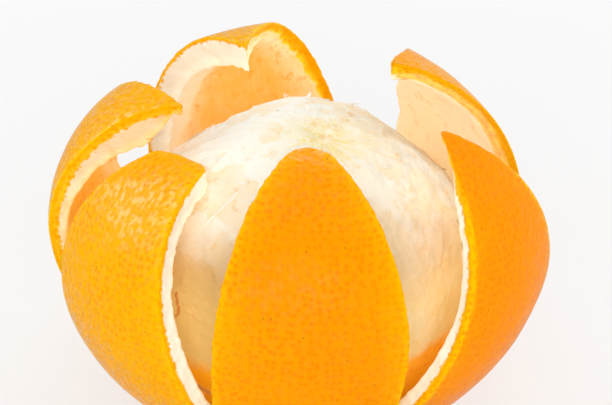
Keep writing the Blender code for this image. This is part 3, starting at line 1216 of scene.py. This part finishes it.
@dataclass
class Strings:
    """Strings and scraps of pith that cling to the fruit, as one mesh of closed ribbons.

    Each pair of ranges is for the strings and for the scraps.
    """

    fruit: Fruit = field(default_factory=Fruit)
    strings: int = 26
    scraps: int = 44
    seed: int = 41
    steps: int = 24
    sides: int = 6
    start: Ranges = ((3.0 * MM, 26.0 * MM), (4.0 * MM, 33.0 * MM))
    length: Ranges = ((5.0 * MM, 17.0 * MM), (1.6 * MM, 3.4 * MM))
    width: Ranges = ((0.35 * MM, 0.80 * MM), (0.35 * MM, 0.9 * MM))
    skew: Ranges = ((-0.25, 0.25), (-2.6, 2.6))
    wave: Ranges = ((0.2 * MM, 0.9 * MM), (0.1 * MM, 0.4 * MM))
    lift: Ranges = ((-0.20 * MM, -0.08 * MM), (0.3 * MM, 1.6 * MM))
    thickest: float = 0.16 * MM
    ragged: Noise = Noise(29)

    def draw(self) -> dict[str, Array]:
        """Draw the start, length, width, turn, waves and lift of every ribbon.

        Returns:
            One column for each ribbon.
        """
        random = np.random.default_rng(self.seed)
        total = self.strings + self.scraps
        scrap = np.arange(total) >= self.strings

        def between(ranges: Ranges) -> Array:
            """Draw every ribbon's value from the range for its sort."""
            share = random.uniform(0.0, 1.0, total)
            string, loose = (low + share * (high - low) for low, high in ranges)
            return np.where(scrap, loose, string)[:, None]

        return {"start": between(self.start),
                "turn": random.uniform(0.0, 2.0 * np.pi, (total, 1)),
                "length": between(self.length), "width": between(self.width),
                "skew": between(self.skew), "wave": between(self.wave),
                "phase": random.uniform(0.0, 2.0 * np.pi, (total, 1)),
                "lift": between(self.lift), "ragged": random.uniform(0.0, 100.0, (total, 1))}

    def build(self) -> bpy.types.Object:
        """Build the ribbons.

        A ribbon starts at its distance from the star and runs outwards, skewed, with sideways
        waves.  Its middle follows the fruit's surface and rises by its lift times the cube of the
        way.  Its section is a flat hexagon that narrows to both ends and has ragged sides.

        Returns:
            The strings' object.
        """
        fruit, drawn = self.fruit, self.draw()
        way = np.linspace(0.0, 1.0, self.steps)[None, :]
        turn, length = drawn["turn"], drawn["length"] * way
        reach = drawn["start"] + length * np.cos(drawn["skew"])
        aside = (length * np.sin(drawn["skew"])
                 + drawn["wave"] * np.sin(4.0 * way + drawn["phase"]))
        x = fruit.star_x + reach * np.cos(turn) - aside * np.sin(turn)
        y = fruit.star_y + reach * np.sin(turn) + aside * np.cos(turn)
        table = np.linspace(180.0, 91.0, 400)
        angle = np.interp(np.hypot(x, y), fruit.profile(table)[0], table)
        made = fruit.points(angle, np.degrees(np.arctan2(x, -y)))
        normal = made["normal"]
        middle = made["points"] + normal * (drawn["lift"] * way ** 3)[..., None]
        beside = np.cross(normal, np.gradient(middle, axis=1))
        beside /= np.linalg.norm(beside, axis=-1, keepdims=True)
        narrow = np.sin(np.pi * (0.03 + 0.94 * way)) ** 0.45
        ragged = self.ragged.at(stack(drawn["ragged"], 9.0 * way, 0.0 * way))
        width = 0.5 * drawn["width"] * narrow * (1.0 + 0.45 * ragged)
        thick = np.minimum(0.22 * drawn["width"], self.thickest) * narrow
        ring = np.radians(np.arange(self.sides) * 360.0 / self.sides)
        across = (width[..., None] * np.cos(ring))[..., None]
        above = (thick[..., None] * np.sin(ring))[..., None]
        points = middle[:, :, None] + beside[:, :, None] * across + normal[:, :, None] * above
        index = ringed(np.arange(points[..., 0].size).reshape(points.shape[:3]))
        caps = [end[:, corners] for end in (index[:, 0, ::-1], index[:, -1])
                for corners in ([0, 1, 2, 3], [0, 3, 4, 5])]
        quads = np.concatenate([grid_quads(index), *caps])
        numbers = {key: np.repeat(made[key].ravel(), self.sides)
                   for key in ("fibre", "star", "stain")}
        pile = Pile()
        pile.add(points, [(quads, np.zeros(points.shape[:3] + (2,)))],
                 numbers | {"flake": 1.0, "groove": 0.0, "swell": 0.3,
                            "angle": np.repeat(angle.ravel(), self.sides)})
        return pile.build("pith_strings")


# --------------------------------------------------------------------------- finishes


@dataclass(frozen=True)
class RindFinish:
    """Orange skin with oil glands, its yellow cut edge and the cream pith behind it; light through
    the rind is painted on the inside as orange colour and as emission.
    """

    deep_skin: Colour = rgb(255, 148, 0)
    bright_skin: Colour = rgb(255, 182, 0)
    edge_skin: Colour = rgb(255, 200, 0)
    gland: Colour = rgb(250, 124, 0)
    speck: Colour = rgb(150, 70, 22)
    cut_orange: Colour = rgb(255, 184, 0)
    cut_yellow: Colour = rgb(255, 200, 28)
    cut_gland: Colour = rgb(255, 170, 0)
    pith: Colour = rgb(255, 250, 232)
    pith_warm: Colour = rgb(255, 220, 156)
    lining_pale: Colour = rgb(255, 238, 208)
    # Painted glow: the lining's deep orange stands in for light coming through the rind.
    lining_painted_glow: Colour = rgb(255, 196, 100)
    smudge: Colour = rgb(252, 172, 48)
    # Painted glow: emission colours on the inside that stand in for light coming through the rind.
    painted_glow_pale: Colour = (0.18, 0.16, 0.11, 1.0)
    painted_glow_deep: Colour = (0.23, 0.115, 0.005, 1.0)
    gland_spacing_mm: float = 1.65
    skin_roughness: float = 0.25
    pith_roughness: float = 0.78
    wax_roughness: float = 0.24
    wax_ior: float = 1.27

    def skin_colour(self, net: Net, dot: Shade, tone: Shade, rim: Shade,
                    zest: Shade) -> bpy.types.NodeSocket:
        """Skin: orange that turns yellower by the cut edges, with darker glands and a few specks.

        Args:
            net: the material's nodes.
            dot: 1 in the middle of a gland.
            tone: how deep the orange is.
            rim: distance to the cut edge in millimetres.
            zest: depth of the yellow layer in millimetres.

        Returns:
            The colour's socket.
        """
        flat = net.unrolled()
        drift = net.noise(net.place(), 60.0, 3.0)
        edge = (rim + net.noise(flat, 1.3, 2.0) * 1.6).step(2.4, 1.0)
        strong = net.noise(flat, 0.09, 2.0).step(0.36, 0.66)
        specks = net.cells(net.scaled(flat, (1.0, 1.0, 0.0), (31.0, 7.0, 0.0)), 0.17, 1.0)
        mark = specks.step(0.040, 0.018) * net.noise(flat, 0.08, 1.0).step(0.50, 0.60)
        return net.layers(
            self.bright_skin,
            ((tone + (drift - 0.5) * 0.5 - rim.step(7.0, 1.0) * 0.22).step(0.0, 1.0),
             self.deep_skin),
            (edge * (0.45 + 0.40 * zest.step(0.9, 1.2)), self.edge_skin),
            (dot * (0.12 + 0.26 * strong + 0.20 * tone), self.gland),
            (mark * 0.65, self.speck))

    def make(self) -> bpy.types.Material:
        """Make the material: skin, yellow layer and pith by depth, and the lining inside, where
        light through the rind is painted as orange colour and as emission.

        Returns:
            The rind's material.
        """
        material = bpy.data.materials.new("orange_rind")
        net = Net(material)
        depth, rim, glow, zest_depth, white, inside, tone = net.attributes(
            "depth rim glow zest white inside tone")
        place, flat = net.place(), net.unrolled()
        place_mm = net.scaled(place, (1.0 / MM,) * 3)

        dots = net.cells(flat, 1.0 / self.gland_spacing_mm, 0.72)
        dot = (dots - (0.18 + 0.20 * net.noise(flat, 0.6, 1.0))).step(0.20, -0.18)
        sac = net.cells(place_mm, 0.80, 1.0, flat=False).step(0.52, 0.22)
        zest = net.layers(self.cut_orange, (depth.step(0.4, 1.4), self.cut_yellow),
                          (sac * 0.85, self.cut_gland))
        outer = net.mix(depth.step(0.10, 0.42), self.skin_colour(net, dot, tone, rim, zest_depth),
                        zest)
        ragged = net.noise(place_mm, 0.9, 3.0, 0.6)
        is_pith = (depth - zest_depth * (0.55 + 0.9 * ragged) - 0.40 * sac).step(-0.12, 0.40)
        lined = inside.step(0.86, 0.99) * (depth - zest_depth * 0.75).step(-0.3, 0.3)
        is_pith = is_pith.at_least(lined)

        mottled = net.noise(place, 260.0, 4.0, 0.6)
        streaks = net.noise(net.scaled(flat, (1.0, 0.16, 0.0)), 0.9, 3.0, 0.6)
        torn = zest_depth.step(1.6, 2.2)
        # The wall is warmer with mottling and where the petal's painted glow of light through the
        # rind is stronger.
        wall = net.mix((mottled * 0.8 + glow * 0.45 - white).step(0.35, 1.0) * 0.8, self.pith,
                       self.pith_warm)
        # Painted glow: the lining turns deep orange with the petal's painted light through the
        # rind, plus mottling and streaks.
        glow_and_mottling = (glow * rim.step(-1.0, 11.0).at_least(torn * 0.65)
                  + (streaks - 0.5) * 0.35 + (mottled - 0.5) * 0.5)
        blots = net.noise(net.scaled(flat, (1.0, 0.6, 0.0)), 0.36, 4.0, 0.6)
        lining = net.layers(self.lining_pale, (glow_and_mottling.step(0.0, 0.9), self.lining_painted_glow),
                            (blots.step(0.53, 0.70) * (0.30 + 0.60 * glow), self.smudge),
                            ((white + (mottled - 0.5) * 0.9).step(0.25, 0.6), self.pith))
        cream = net.mix((lined * rim.step(0.0, 1.6)).at_least(torn * 0.85), wall, lining)

        fresh = white.at_most(1.0)
        # Painted glow: emission on the inside, stronger higher up and weaker on fresh white pith,
        # for light through the rind.
        through = net.mix(glow.step(0.0, 0.7) * (1.0 - fresh), self.painted_glow_pale,
                          self.painted_glow_deep)
        painted_glow_share = (inside.step(0.6, 1.0) * (1.0 - 0.3 * fresh)
               * net.along("Z", place).step(10.0 * MM, 52.0 * MM))

        pebble = net.noise(flat, 0.75, 2.0, 0.5)
        swelling = net.cells(flat, 0.60, 1.0).step(0.0, 0.8)
        on_skin = depth.step(0.45, 0.05)
        grain = net.noise(place, 1500.0, 3.0, 0.6)
        fluff = net.noise(place, 420.0, 3.0, 0.6)
        normal = net.bump(
            ((swelling * 0.6 + pebble - 0.85) * on_skin * (1.2 - 0.7 * tone), 0.18 * MM),
            (0.0 - dot * on_skin, 0.018 * MM),
            ((fluff - 0.5 + (streaks - 0.5) * 0.5) * is_pith, 0.26 * MM),
            (grain, 0.025 * MM))
        roughness = (self.skin_roughness + 0.10 * (pebble - 0.5)
                     + (self.pith_roughness - self.skin_roughness) * is_pith)
        wax = net.noise(net.scaled(flat, (1.0, 0.7, 0.0)), 0.75, 3.0, 0.6).step(0.49, 0.58)
        net.close("ShaderNodeOutputMaterial", net.node("ShaderNodeBsdfPrincipled", None, {
            "Base Color": net.mix(is_pith, outer, cream), "Roughness": roughness,
            "Normal": normal, "Coat Weight": wax * on_skin * (1.15 - 0.85 * tone),
            "Coat Roughness": self.wax_roughness, "Coat IOR": self.wax_ior,
            "Emission Color": net.mix(painted_glow_share, BLACK, through), "Emission Strength": 1.0,
            "IOR": 1.45, "Specular IOR Level": 0.02}))
        return material


@dataclass(frozen=True)
class PithFinish:
    """White pith of the peeled fruit, with pale yellow fibres and a few orange flecks; its lower
    part and right side carry painted shade, and its lower part painted bounce light and glow.
    """

    white: Colour = rgb(254, 250, 238)
    cream: Colour = rgb(254, 239, 208)
    fibre: Colour = rgb(255, 230, 132)
    thin: Colour = rgb(251, 222, 166)
    fleck: Colour = rgb(246, 196, 112)
    stain: Colour = rgb(236, 196, 140)
    # Grey net, also laid evenly over the right side as painted shade.
    grey_net_and_shade: Colour = rgb(194, 184, 160)
    # Painted shade and bounce light: tan on the lower part, more on the left.
    painted_low_shade: Colour = rgb(220, 182, 118)
    # Painted shade and bounce light: orange in the crevice by the cup.
    crevice_shade_and_bounce: Colour = rgb(250, 166, 4)
    crumb: Colour = rgb(196, 98, 22)
    # Painted glow: emission low down and in the crevice, for light through the petals.
    painted_glow_low: Colour = (0.14, 0.12, 0.03, 1.0)
    painted_glow_deep: Colour = (0.16, 0.085, 0.0, 1.0)
    roughness: float = 0.74

    def make(self) -> bpy.types.Material:
        """Make the material: white above, then painted tan shade lower down and painted orange
        bounce light in the crevice by the cup, with painted glow as emission.

        Returns:
            The pith's material.
        """
        material = bpy.data.materials.new("white_pith")
        net = Net(material)
        place = net.place()
        fibre, flake, groove, swell, star, stain, angle = net.attributes(
            "fibre flake groove swell star stain angle")
        cloudy = net.noise(place, 120.0, 4.0, 0.6)
        torn_edge = flake * (1.0 - flake) * 4.0
        blots = net.noise(place, 300.0, 3.0, 0.6)
        brushed = net.noise(net.scaled(place, (1.0, 0.4, 0.5)), 420.0, 4.0, 0.6)
        east = net.along("X", place)
        # Painted shade and bounce light: the lower part is tinted tan, more on the left side.
        leftward = east.step(22.0 * MM, -22.0 * MM)
        low = (angle + (cloudy - 0.5) * 22.0).step(138.0, 112.0)
        spots = net.noise(place, 430.0, 4.0, 0.6) + 0.03 * leftward
        # Painted shade and bounce light: the crevice by the cup is tinted orange.
        deep = (angle + (cloudy - 0.5) * 16.0).step(86.0, 77.0)
        crumbs = net.noise(place, 900.0, 2.0, 0.6).step(0.58, 0.72)
        colour = net.layers(
            self.white,
            ((cloudy + (0.5 - flake) * 0.25).step(0.36, 0.74), self.cream),
            ((fibre * (0.4 + cloudy)).step(0.25, 0.85) * 0.6, self.fibre),
            (star * (0.15 + 1.5 * fibre), self.fibre),
            (torn_edge * cloudy.step(0.35, 0.7) * 0.5, self.thin),
            ((groove * 0.8 - swell * 0.4).step(0.2, 0.8) * 0.45, self.thin),
            (blots.step(0.60, 0.72) * (1.0 - flake * 0.6) * 0.6, self.fleck),
            ((stain * (0.4 + 0.9 * cloudy)).at_most(0.9), self.stain),
            # Grey net pattern over an even painted shade on the right side.
            ((brushed.step(0.42, 0.68) * 0.24 + 0.16) * east.step(6.0 * MM, 22.0 * MM),
             self.grey_net_and_shade),
            # Painted shade and bounce light: tan low down and more on the left.
            (low * (0.46 + 0.54 * leftward), self.painted_low_shade),
            (spots.step(0.58, 0.74) * low * 0.35, self.fleck),
            # Painted orange bounce light and shade in the crevice.
            (deep * 0.90, self.crevice_shade_and_bounce),
            ((deep * crumbs * 0.8).at_least(stain.step(0.9, 1.6) * 0.92), self.crumb))
        # Painted glow: emission low down and in the crevice stands in for light through the petals.
        through = net.layers(
            BLACK, (angle.step(122.0, 98.0), self.painted_glow_low),
            (deep * (1.0 - (stain * 0.5).at_most(1.0)), self.painted_glow_deep))
        normal = net.bump((net.noise(place, 650.0, 4.0, 0.65), 0.24 * MM),
                          (net.noise(place, 1500.0, 3.0, 0.6), 0.07 * MM))
        net.close("ShaderNodeOutputMaterial", net.node("ShaderNodeBsdfPrincipled", None, {
            "Base Color": colour, "Roughness": self.roughness, "Normal": normal,
            "Emission Color": through, "Emission Strength": 1.0, "IOR": 1.38,
            "Specular IOR Level": 0.2}))
        return material


# --------------------------------------------------------------------------- studio


class Use(Enum):
    """What a lamp is for."""

    FILL = "soft light without a reflection"
    SHEEN = "a reflection on glossy skin only"


@dataclass(frozen=True)
class Lamp:
    """One soft square lamp: where it stands in metres, its side, its strength and its use."""

    name: str
    place: tuple[float, float, float]
    side: float
    power: float
    use: Use = Use.FILL


@dataclass
class Studio:
    """Pale floor, soft lamps and the camera."""

    target: tuple[float, float, float] = (2.05 * MM, 0.0, 52.7 * MM)
    lamp_target: tuple[float, float, float] = (0.0, 0.0, 30.0 * MM)
    elevation: float = 34.0
    distance: float = 0.8
    lens: float = 232.0
    sensor: float = 36.0
    floor_side: float = 12.0
    world_back: float = 0.95
    world_front: float = 0.30
    gloss_back: float = 0.80
    gloss_front: float = 0.02
    world_turn: tuple[float, float] = (-0.75, 0.25)
    gloss_turn: tuple[float, float] = (-0.10, 0.60)
    floor_grey: Colour = (0.86, 0.86, 0.86, 1.0)
    floor_white: float = 0.96
    white_near: float = 0.62
    white_from: tuple[float, float] = (0.05, 0.22)
    lamps: tuple[Lamp, ...] = (
        Lamp("left", (-0.75, 0.00, 0.36), 0.40, 1.2),
        Lamp("front", (0.00, -0.92, 0.52), 0.70, 5.8),
        Lamp("top", (0.00, 0.10, 0.90), 0.50, 0.8),
        Lamp("right", (0.80, 0.20, 0.30), 0.30, 1.9),
        Lamp("back", (0.20, 0.88, 0.20), 0.36, 1.2),
        Lamp("left_sheen", (-0.58, 0.28, 0.50), 0.60, 7.0, Use.SHEEN),
        Lamp("back_sheen", (0.04, 0.70, 0.50), 0.24, 2.0, Use.SHEEN),
    )

    def stand(self, name: str, data: bpy.types.ID, start: Sequence[float],
              target: Sequence[float]) -> bpy.types.Object:
        """Stand a camera or a lamp somewhere and turn it to look at a point.

        Args:
            name: name of the object.
            data: the camera or the lamp.
            start: where it stands.
            target: where it looks.

        Returns:
            The object.
        """
        piece = bpy.data.objects.new(name, data)
        bpy.context.scene.collection.objects.link(piece)
        piece.location = Vector(start)
        way = Vector(target) - Vector(start)
        piece.rotation_euler = way.to_track_quat("-Z", "Y").to_euler()
        return piece

    def camera(self) -> None:
        """Camera in front of the orange, looking down at it."""
        data = bpy.data.cameras.new("camera")
        data.sensor_fit, data.sensor_width, data.lens = "HORIZONTAL", self.sensor, self.lens
        data.clip_start, data.clip_end = 0.05, 50.0
        lift = math.radians(self.elevation)
        x, y, z = self.target
        start = (x, y - self.distance * math.cos(lift), z + self.distance * math.sin(lift))
        bpy.context.scene.camera = self.stand("camera", data, start, self.target)

    def light(self) -> None:
        """Soft lamps round the orange, and a pale surround that is dimmer in front."""
        for lamp in self.lamps:
            data = bpy.data.lights.new(lamp.name, "AREA")
            data.shape, data.size, data.energy = "SQUARE", lamp.side, lamp.power
            piece = self.stand(lamp.name, data, lamp.place, self.lamp_target)
            piece.visible_glossy = lamp.use is not Use.FILL
            piece.visible_diffuse = lamp.use is not Use.SHEEN
        world = bpy.context.scene.world = bpy.data.worlds.new("surround")
        net = Net(world)
        back = net.along("Y", net.node("ShaderNodeTexCoord").outputs["Generated"])
        seen, gloss = (net.shade(ray, "ShaderNodeLightPath")
                       for ray in ("Is Camera Ray", "Is Glossy Ray"))
        soft, shine = (front + (behind - front) * back.step(*turn) for front, behind, turn in (
            (self.world_front, self.world_back, self.world_turn),
            (self.gloss_front, self.gloss_back, self.gloss_turn)))
        level = (soft + (shine - soft) * gloss).at_least(seen)
        net.close("ShaderNodeOutputWorld",
                  net.node("ShaderNodeBackground", None, {"Strength": level}))

    def floor(self) -> bpy.types.Object:
        """Wide level floor: plain near the orange, white further off where the camera sees it.

        Returns:
            The floor.
        """
        half = 0.5 * self.floor_side
        mesh = bpy.data.meshes.new("floor")
        mesh.from_pydata([(-half, -half, 0.0), (half, -half, 0.0), (half, half, 0.0),
                          (-half, half, 0.0)], [], [(0, 1, 2, 3)])
        floor = bpy.data.objects.new("floor", mesh)
        floor.visible_glossy = False
        bpy.context.scene.collection.objects.link(floor)
        material = bpy.data.materials.new("pale_floor")
        net = Net(material)
        paper = net.node("ShaderNodeBsdfPrincipled", None, {
            "Base Color": self.floor_grey, "Roughness": 0.9, "Specular IOR Level": 0.1})
        white = net.node("ShaderNodeEmission", None, {
            "Color": (1.0, 1.0, 1.0, 1.0), "Strength": self.floor_white})
        away = net.shade("Value", "ShaderNodeVectorMath", {"operation": "LENGTH"},
                         {0: net.place()})
        faded = self.white_near + (1.0 - self.white_near) * away.step(*self.white_from)
        share = faded * net.shade("Is Camera Ray", "ShaderNodeLightPath")
        net.close("ShaderNodeOutputMaterial", net.node("ShaderNodeMixShader", None, {
            0: share, 1: paper.outputs[0], 2: white.outputs[0]}))
        mesh.materials.append(material)
        return floor

    def build(self) -> None:
        """Set up camera, lamps, floor and the plain colour transform."""
        bpy.context.scene.view_settings.view_transform = "Standard"
        self.camera()
        self.light()
        self.floor()


# --------------------------------------------------------------------------- assembly


@dataclass
class PeeledOrange:
    """The whole object: rind, fruit and the strings of pith on it."""

    rind: Rind = field(default_factory=Rind)
    fruit: Fruit = field(default_factory=Fruit)
    strings: Strings = field(default_factory=Strings)
    skin: RindFinish = field(default_factory=RindFinish)
    pith: PithFinish = field(default_factory=PithFinish)

    def dress(self, piece: bpy.types.Object, material: bpy.types.Material, node: str) -> None:
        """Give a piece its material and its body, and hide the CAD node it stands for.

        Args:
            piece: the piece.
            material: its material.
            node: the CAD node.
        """
        piece.data.materials.append(material)
        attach(piece, "root")
        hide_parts(node)
        LOG.info("%s: %d points, %d faces", piece.name, len(piece.data.vertices),
                 len(piece.data.polygons))

    def build(self) -> None:
        """Build and dress every piece."""
        self.dress(self.rind.build(), self.skin.make(), "peel")
        white = self.pith.make()
        self.dress(self.fruit.build(), white, "fruit")
        self.dress(self.strings.build(), white, "fruit")


def main() -> None:
    """Load the frame and build everything in order."""
    logging.basicConfig(level=logging.INFO, format="%(name)s: %(message)s")
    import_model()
    Studio().build()
    PeeledOrange().build()


if __name__ == "__main__":
    main()
